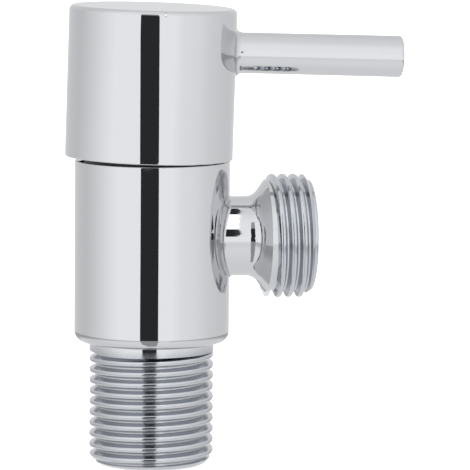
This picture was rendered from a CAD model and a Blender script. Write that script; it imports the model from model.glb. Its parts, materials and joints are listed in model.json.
"""Looks, studio and camera for the chrome angle stop valve. Metres, +Z up, in the CAD frame."""

import json
import math

import bpy
from mathutils import Matrix, Vector


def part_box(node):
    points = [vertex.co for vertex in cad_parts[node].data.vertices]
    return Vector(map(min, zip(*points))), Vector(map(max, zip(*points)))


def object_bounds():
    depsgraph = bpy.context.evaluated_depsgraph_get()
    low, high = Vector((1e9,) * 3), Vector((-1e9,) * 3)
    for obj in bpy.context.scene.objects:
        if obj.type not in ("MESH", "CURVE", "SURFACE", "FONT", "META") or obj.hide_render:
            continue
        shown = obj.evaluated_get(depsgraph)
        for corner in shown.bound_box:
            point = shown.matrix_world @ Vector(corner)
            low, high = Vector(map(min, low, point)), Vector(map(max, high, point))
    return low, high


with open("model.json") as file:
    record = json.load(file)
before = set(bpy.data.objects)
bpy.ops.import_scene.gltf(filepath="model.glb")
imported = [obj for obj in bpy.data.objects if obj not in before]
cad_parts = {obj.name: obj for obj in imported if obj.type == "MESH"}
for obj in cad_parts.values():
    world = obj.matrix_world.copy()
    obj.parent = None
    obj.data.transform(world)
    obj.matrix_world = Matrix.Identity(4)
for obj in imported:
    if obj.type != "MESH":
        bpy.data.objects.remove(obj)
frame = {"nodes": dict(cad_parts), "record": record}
cad_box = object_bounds()
NODES = frame["nodes"]

# The camera, as the object was seen: round to the left, a little above, through a long lens
CAMERA_AZIMUTH = math.radians(-8.3)
CAMERA_ELEVATION = math.radians(6.75)
CAMERA_ROLL = math.radians(0.46)
CAMERA_DISTANCE = 0.675
SENSOR_WIDTH = 36.0
LENS = 306.4
AIM_RIGHT = 0.00029
AIM_UP = -0.00022

# The studio: a white tent that only the metal and the other materials see
TENT_RADIUS = 0.60
TENT_RINGS = 144
TENT_SEGMENTS = 96
CARD_DISTANCE = 0.40
TENT_TINT = (0.985, 0.992, 1.0)
CARD_TINT = (0.96, 0.98, 1.0)

# The plate's colour and roughness where it is buffed, and over cut metal
BUFFED_CHROME = (0.625, 0.631, 0.645)
BUFFED_ROUGHNESS = (0.012, 0.03)
CUT_CHROME = (0.57, 0.585, 0.615)
CUT_ROUGHNESS = 0.11
# How much more the cut metal's colour counts than the haze on the plate
CUT_WEIGHT = 7.0


def mount_place(name):
    """Where a mount of the record is."""
    return Vector(next(mount["pos_m"] for mount in frame["record"]["mounts"] if mount["name"] == name))


# ---------------------------------------------------------------- node helpers

def new_material(name):
    """A node material with its Principled shader already linked to the output."""
    material = bpy.data.materials.new(name)
    material.use_nodes = True
    return material, material.node_tree.nodes["Principled BSDF"]


def add_node(material, kind, **settings):
    """A node of a material, with plain settings by attribute or by input name."""
    node = material.node_tree.nodes.new(f"ShaderNode{kind}")
    for key, value in settings.items():
        if hasattr(node, key):
            setattr(node, key, value)
        else:
            node.inputs[key.replace("_", " ").title()].default_value = value
    return node


def link(material, source, target):
    material.node_tree.links.new(source, target)


def object_coordinates(material):
    return add_node(material, "TexCoord").outputs["Object"]


def noise(material, coordinates, scale, detail=3.0, roughness=0.5):
    """Fractal noise in object space. The scale is in cycles per metre."""
    node = add_node(material, "TexNoise", scale=scale, detail=detail, roughness=roughness)
    link(material, coordinates, node.inputs["Vector"])
    return node.outputs["Fac"]


def remap(material, source, low, high, start=0.0, end=1.0):
    """Map a factor from low..high onto start..end, clamped."""
    node = add_node(material, "MapRange")
    node.inputs["From Min"].default_value = low
    node.inputs["From Max"].default_value = high
    node.inputs["To Min"].default_value = start
    node.inputs["To Max"].default_value = end
    link(material, source, node.inputs["Value"])
    return node.outputs["Result"]


def combine(material, operation, first, second):
    """One math node. Each input is a socket or a number."""
    node = add_node(material, "Math", operation=operation)
    for place, value in enumerate((first, second)):
        if isinstance(value, (int, float)):
            node.inputs[place].default_value = value
        else:
            link(material, value, node.inputs[place])
    return node.outputs[0]


def mix_colors(material, factor, first, second):
    node = add_node(material, "Mix", data_type="RGBA")
    link(material, factor, node.inputs["Factor"])
    for name, colour in (("A", first), ("B", second)):
        socket = next(item for item in node.inputs if item.name == name and item.type == "RGBA")
        socket.default_value = (*colour, 1.0)
    return next(item for item in node.outputs if item.type == "RGBA")


def bump(material, shader, height, strength, distance):
    node = add_node(material, "Bump", strength=strength, distance=distance)
    link(material, height, node.inputs["Height"])
    link(material, node.outputs["Normal"], shader.inputs["Normal"])


# ---------------------------------------------------------------- materials

def chrome(name, rough_mask=None):
    """Bright chrome plate: a faint ripple from polishing, thin haze and fine hairline wear.
    A mask turns it duller and wavier where the metal under the plate isn't buffed."""
    material, shader = new_material(name)
    place = object_coordinates(material)
    haze = remap(material, noise(material, place, 240.0, 4.0), 0.3, 0.7)
    shader.inputs["Metallic"].default_value = 1.0
    smudge = noise(material, place, 700.0, 5.0, 0.6)
    rough = remap(material, smudge, 0.35, 0.7, *BUFFED_ROUGHNESS)
    ripple = noise(material, place, 150.0, 2.0)
    height = combine(material, "MULTIPLY", ripple, 0.2)
    if rough_mask is not None:
        mask = rough_mask(material, place)
        haze = combine(material, "SUBTRACT", haze, combine(material, "MULTIPLY", mask, CUT_WEIGHT))
        rough = combine(material, "ADD", rough, combine(material, "MULTIPLY", mask, CUT_ROUGHNESS))
        lumps = noise(material, place, 900.0, 2.0)
        lumps = combine(material, "MULTIPLY", lumps, mask)
        height = combine(material, "ADD", height, combine(material, "MULTIPLY", lumps, 0.4))
    shade = remap(material, haze, -CUT_WEIGHT, 1.0)
    link(material, mix_colors(material, shade, CUT_CHROME, BUFFED_CHROME), shader.inputs["Base Color"])
    link(material, rough, shader.inputs["Roughness"])
    bump(material, shader, height, 0.12, 0.0001)
    return material


def cut_thread_mask(material, place):
    """One on the inlet's thread and out along the outlet's arm, nought on the buffed barrel."""
    split = add_node(material, "SeparateXYZ")
    link(material, place, split.inputs[0])
    barrel_foot = mount_place("inlet_thread").z + 0.0005
    below = remap(material, split.outputs["Z"], barrel_foot - 0.001, barrel_foot, 1.0, 0.0)
    arm_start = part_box("valve_body")[1].x - 0.008
    beyond = remap(material, split.outputs["X"], arm_start, arm_start + 0.002, 0.0, 1.0)
    return combine(material, "MAXIMUM", below, beyond)


def brass(name):
    """Bare turned brass: fine turning rings, a slightly tarnished tint in patches."""
    material, shader = new_material(name)
    place = object_coordinates(material)
    patches = noise(material, place, 180.0, 4.0)
    tarnish = remap(material, patches, 0.35, 0.65)
    colour = mix_colors(material, tarnish, (0.66, 0.47, 0.20), (0.80, 0.62, 0.32))
    link(material, colour, shader.inputs["Base Color"])
    shader.inputs["Metallic"].default_value = 1.0
    link(material, remap(material, patches, 0.3, 0.7, 0.34, 0.22), shader.inputs["Roughness"])
    rings = add_node(material, "TexWave", wave_type="BANDS", bands_direction="Z", scale=2200.0,
                     distortion=0.6)
    link(material, place, rings.inputs["Vector"])
    bump(material, shader, rings.outputs["Fac"], 0.25, 0.00002)
    return material


def rubber(name):
    """Black nitrile rubber with a faint bloom."""
    material, shader = new_material(name)
    place = object_coordinates(material)
    bloom = noise(material, place, 500.0, 4.0)
    pale = remap(material, bloom, 0.4, 0.75)
    colour = mix_colors(material, pale, (0.012, 0.012, 0.013), (0.03, 0.03, 0.032))
    link(material, colour, shader.inputs["Base Color"])
    link(material, remap(material, bloom, 0.3, 0.7, 0.5, 0.68), shader.inputs["Roughness"])
    bump(material, shader, noise(material, place, 4000.0, 2.0), 0.2, 0.00003)
    return material


def moulded(name, light, dark, rough_low, rough_high):
    """Moulded plastic or lapped ceramic: two close tints and a fine satin grain."""
    material, shader = new_material(name)
    place = object_coordinates(material)
    cloud = noise(material, place, 300.0, 4.0)
    link(material, mix_colors(material, remap(material, cloud, 0.35, 0.65), dark, light),
         shader.inputs["Base Color"])
    link(material, remap(material, cloud, 0.3, 0.7, rough_low, rough_high), shader.inputs["Roughness"])
    bump(material, shader, noise(material, place, 6000.0, 2.0), 0.15, 0.00002)
    return material


def steel(name):
    """Plain stainless steel with fine drawing marks."""
    material, shader = new_material(name)
    place = object_coordinates(material)
    marks = noise(material, place, 1500.0, 5.0, 0.7)
    bright = remap(material, marks, 0.35, 0.65)
    colour = mix_colors(material, bright, (0.42, 0.42, 0.43), (0.55, 0.55, 0.56))
    link(material, colour, shader.inputs["Base Color"])
    shader.inputs["Metallic"].default_value = 1.0
    link(material, remap(material, marks, 0.3, 0.7, 0.24, 0.4), shader.inputs["Roughness"])
    bump(material, shader, marks, 0.2, 0.00002)
    return material


def finish_nodes():
    """Every CAD node takes the material of its slot in the record."""
    made = {
        "chrome_body": chrome("chrome_body", cut_thread_mask),
        "chrome_handle": chrome("chrome_handle"),
        "brass": brass("turned_brass"),
        "seal_rubber": rubber("nitrile_rubber"),
        "ceramic": moulded("lapped_ceramic", (0.84, 0.83, 0.79), (0.78, 0.77, 0.72), 0.12, 0.2),
        "white_plastic": moulded("natural_acetal", (0.80, 0.79, 0.74), (0.74, 0.73, 0.68), 0.35, 0.5),
        "black_plastic": moulded("black_acetal", (0.03, 0.03, 0.031), (0.018, 0.018, 0.019), 0.35, 0.5),
        "steel": steel("stainless_steel"),
    }
    for part in frame["record"]["subparts"]:
        node = NODES[part["node"]]
        node.data.materials.clear()
        node.data.materials.append(made[part["material_slot"]])


# ---------------------------------------------------------------- studio

def hidden_from_camera(piece):
    piece.visible_camera = False
    piece.visible_shadow = False
    return piece


def stage_mesh(name, points, faces):
    mesh = bpy.data.meshes.new(name)
    mesh.from_pydata(points, [], faces)
    piece = bpy.data.objects.new(name, mesh)
    bpy.context.scene.collection.objects.link(piece)
    return piece


def emitter(name, colour, strength):
    """A material that only gives light."""
    material = bpy.data.materials.new(name)
    material.use_nodes = True
    tree = material.node_tree
    tree.nodes.clear()
    output = tree.nodes.new("ShaderNodeOutputMaterial")
    light = tree.nodes.new("ShaderNodeEmission")
    light.inputs["Color"].default_value = (*colour, 1.0)
    light.inputs["Strength"].default_value = strength
    tree.links.new(light.outputs[0], output.inputs["Surface"])
    return material, light


def direction(azimuth, elevation):
    """A unit vector from the object: azimuth from the camera's side, to its right, in radians."""
    turn = CAMERA_AZIMUTH + azimuth
    flat = math.cos(elevation)
    return Vector((math.sin(turn) * flat, -math.cos(turn) * flat, math.sin(elevation)))


# How bright the tent is round the object: degrees from the camera's side, and its radiance
TENT_LEFT = ((0, 1.23), (50, 1.23), (65, 1.12), (80, 0.99), (95, 0.87), (112, 0.77),
             (150, 0.78), (180, 0.80))
TENT_RIGHT = ((0, 1.23), (31, 1.23), (43, 1.12), (67, 1.06), (88, 0.95), (115, 0.87),
              (139, 0.81), (180, 0.80))
# Its radiance right overhead and underfoot, and how far it has gone there by degrees of height
TENT_OVERHEAD = 0.97
TENT_UNDERFOOT = 0.93
TENT_RISE = ((0, 0.0), (12, 0.0), (25, 0.16), (43, 0.16), (61, 0.53), (81, 1.0), (90, 1.0))
TENT_FALL = ((0, 0.0), (12, 0.0), (25, 0.68), (44, 0.68), (63, 0.86), (85, 1.0), (90, 1.0))

# A dimmer band low in the tent, by degrees below the horizon. It is weaker to the right, by azimuth
TENT_BAND = ((0, 0.0), (10, 0.0), (11.25, 0.4), (18, 0.4), (26, 0.0), (90, 0.0))
BAND_WEAKENED = ((-180, 1.0), (8, 1.0), (15, 0.35), (23, 0.35), (30, 1.0), (180, 1.0))


def straight_runs(table, angle):
    """The value at an angle in a table of angles and values, by straight runs."""
    for (first, low), (last, high) in zip(table, table[1:]):
        if angle <= last:
            return low + (high - low) * (angle - first) / (last - first)
    return table[-1][1]


def tent_level(degrees, height):
    """The tent's radiance at an angle round from the camera's side and a height, in degrees."""
    level = straight_runs(TENT_RIGHT if degrees >= 0 else TENT_LEFT, abs(degrees))
    pole = TENT_OVERHEAD if height >= 0 else TENT_UNDERFOOT
    level += (pole - level) * straight_runs(TENT_RISE if height >= 0 else TENT_FALL, abs(height))
    band = straight_runs(TENT_BAND, max(0.0, -height)) * straight_runs(BAND_WEAKENED, degrees)
    return level * (1.0 - band)


def make_tent(centre):
    """A closed white tent. Its light falls off round the sides and towards its top and foot."""
    points = []
    levels = []
    for ring in range(TENT_RINGS + 1):
        elevation = math.pi * (ring / TENT_RINGS - 0.5)
        for step in range(TENT_SEGMENTS):
            degrees = 360.0 * step / TENT_SEGMENTS - 180.0
            points.append(centre + direction(math.radians(degrees), elevation) * TENT_RADIUS)
            levels.append(tent_level(degrees, math.degrees(elevation)))
    faces = []
    for ring in range(TENT_RINGS):
        for step in range(TENT_SEGMENTS):
            beside = (step + 1) % TENT_SEGMENTS
            low = ring * TENT_SEGMENTS
            high = low + TENT_SEGMENTS
            faces.append((low + step, low + beside, high + beside, high + step))
    tent = hidden_from_camera(stage_mesh("tent", points, faces))
    layer = tent.data.attributes.new("level", "FLOAT", "POINT")
    layer.data.foreach_set("value", levels)
    material, light = emitter("tent_light", TENT_TINT, 1.0)
    level = material.node_tree.nodes.new("ShaderNodeAttribute")
    level.attribute_name = "level"
    material.node_tree.links.new(level.outputs["Fac"], light.inputs["Strength"])
    tent.data.materials.append(material)


# The gap in the tent that the camera looks through. Its edges are in degrees to the left and right,
# for what the body mirrors and for what the leaning cap mirrors
BODY_EDGES = (-17.4, 8.7)
CAP_FOOT_EDGES = (-11.7, 12.7)
CAP_EDGES = (-17.0, 7.6)
GAP_DARK = 0.034
GAP_DIM = 0.4
GAP_DIM_ABOVE = 0.45
# Its rows: a height in degrees, the edges there, and how bright the room is up to the next row. Two
# rows at one height are a step to the side, where the body's part ends and the cap's part begins
GAP = (
    (-75, *BODY_EDGES, GAP_DIM), (-58, *BODY_EDGES, GAP_DIM), (-40, *BODY_EDGES, GAP_DIM),
    (-22, *BODY_EDGES, GAP_DIM), (-11.0, *BODY_EDGES, GAP_DARK), (-3.6, *BODY_EDGES, 0.0),
    (-3.6, *CAP_FOOT_EDGES, GAP_DARK), (2.1, *CAP_EDGES, GAP_DARK), (26, *CAP_EDGES, GAP_DIM_ABOVE),
    (44, *CAP_EDGES, 0.0),
)
# What the outlet's neck mirrors: a narrow row of cards, dark, bright and dark again by height in
# degrees, between two distances along X
NECK_ROW = ((4, 0.03), (25, 2.3), (70, 0.03), (92, 0.0))
NECK_CARD_SPAN = 15
NECK_SEEN_FROM = 0.060
NECK_SEEN_TO = 0.0711


def make_card(name, level, points):
    """A flat card round the object that is seen only in the metal."""
    card = hidden_from_camera(stage_mesh(name, points, [tuple(range(len(points)))]))
    card.data.materials.append(emitter(f"{name}_light", CARD_TINT, level)[0])


def make_gap(centre):
    """The dark gap that the camera looks through, as a stack of cards."""
    for step, (lower, upper) in enumerate(zip(GAP, GAP[1:])):
        low, left, right, level = lower
        high, upper_left, upper_right, _ = upper
        corners = ((left, low), (right, low), (upper_right, high), (upper_left, high))
        points = [centre + direction(math.radians(across), math.radians(up)) * CARD_DISTANCE
                  for across, up in corners]
        if high > low:
            make_card(f"gap_{step:02d}", level, points)


def make_neck_row(height):
    """The narrow cards that the outlet's neck mirrors, on an arc about the outlet's axis."""
    for step, ((low, level), (high, _)) in enumerate(zip(NECK_ROW, NECK_ROW[1:])):
        parts = max(1, round((high - low) / NECK_CARD_SPAN))
        for part in range(parts):
            foot, top = [math.radians(low + (high - low) * (part + side) / parts) for side in (0, 1)]
            corners = ((foot, NECK_SEEN_FROM), (foot, NECK_SEEN_TO),
                       (top, NECK_SEEN_TO), (top, NECK_SEEN_FROM))
            points = []
            for up, across in corners:
                forward = -CARD_DISTANCE * math.cos(up)
                points.append(Vector((across, forward, height + CARD_DISTANCE * math.sin(up))))
            make_card(f"neck_row_{step}_{part}", level, points)


def make_floor(low):
    """A plain pale floor under the inlet's end. The metal doesn't mirror it."""
    reach = 6.0
    floor = stage_mesh("floor", [(-reach, -reach, low), (reach, -reach, low), (reach, reach, low),
                                 (-reach, reach, low)], [(0, 1, 2, 3)])
    material, shader = new_material("pale_floor")
    shader.inputs["Base Color"].default_value = (0.92, 0.92, 0.92, 1.0)
    shader.inputs["Roughness"].default_value = 0.9
    shader.inputs["Specular IOR Level"].default_value = 0.0
    shader.inputs["Emission Color"].default_value = (1.0, 1.0, 1.0, 1.0)
    shader.inputs["Emission Strength"].default_value = 0.6
    floor.data.materials.append(material)
    floor.visible_glossy = False


def make_world():
    world = bpy.data.worlds.new("studio")
    bpy.context.scene.world = world
    world.use_nodes = True
    background = world.node_tree.nodes["Background"]
    background.inputs["Color"].default_value = (1.0, 1.0, 1.0, 1.0)
    background.inputs["Strength"].default_value = 1.0


def make_camera(centre):
    """The camera at the object's seen angle, level apart from a small roll."""
    back = direction(0.0, CAMERA_ELEVATION)
    right = Vector((math.cos(CAMERA_AZIMUTH), math.sin(CAMERA_AZIMUTH), 0.0))
    up = back.cross(right)
    target = centre + right * AIM_RIGHT + Vector((0.0, 0.0, AIM_UP))
    turn = Matrix((right, up, back)).transposed() @ Matrix.Rotation(CAMERA_ROLL, 3, "Z")
    data = bpy.data.cameras.new("camera")
    data.sensor_width = SENSOR_WIDTH
    data.lens = LENS
    data.clip_start = 0.01
    data.clip_end = 50.0
    camera = bpy.data.objects.new("camera", data)
    camera.matrix_world = Matrix.Translation(target + back * CAMERA_DISTANCE) @ turn.to_4x4()
    bpy.context.scene.collection.objects.link(camera)
    bpy.context.scene.camera = camera


finish_nodes()
middle = (cad_box[0] + cad_box[1]) / 2
make_world()
make_tent(middle)
make_gap(middle)
make_neck_row(mount_place("outlet_socket").z)
make_floor(cad_box[0].z)
make_camera(middle)
bpy.context.scene.view_settings.view_transform = "Standard"
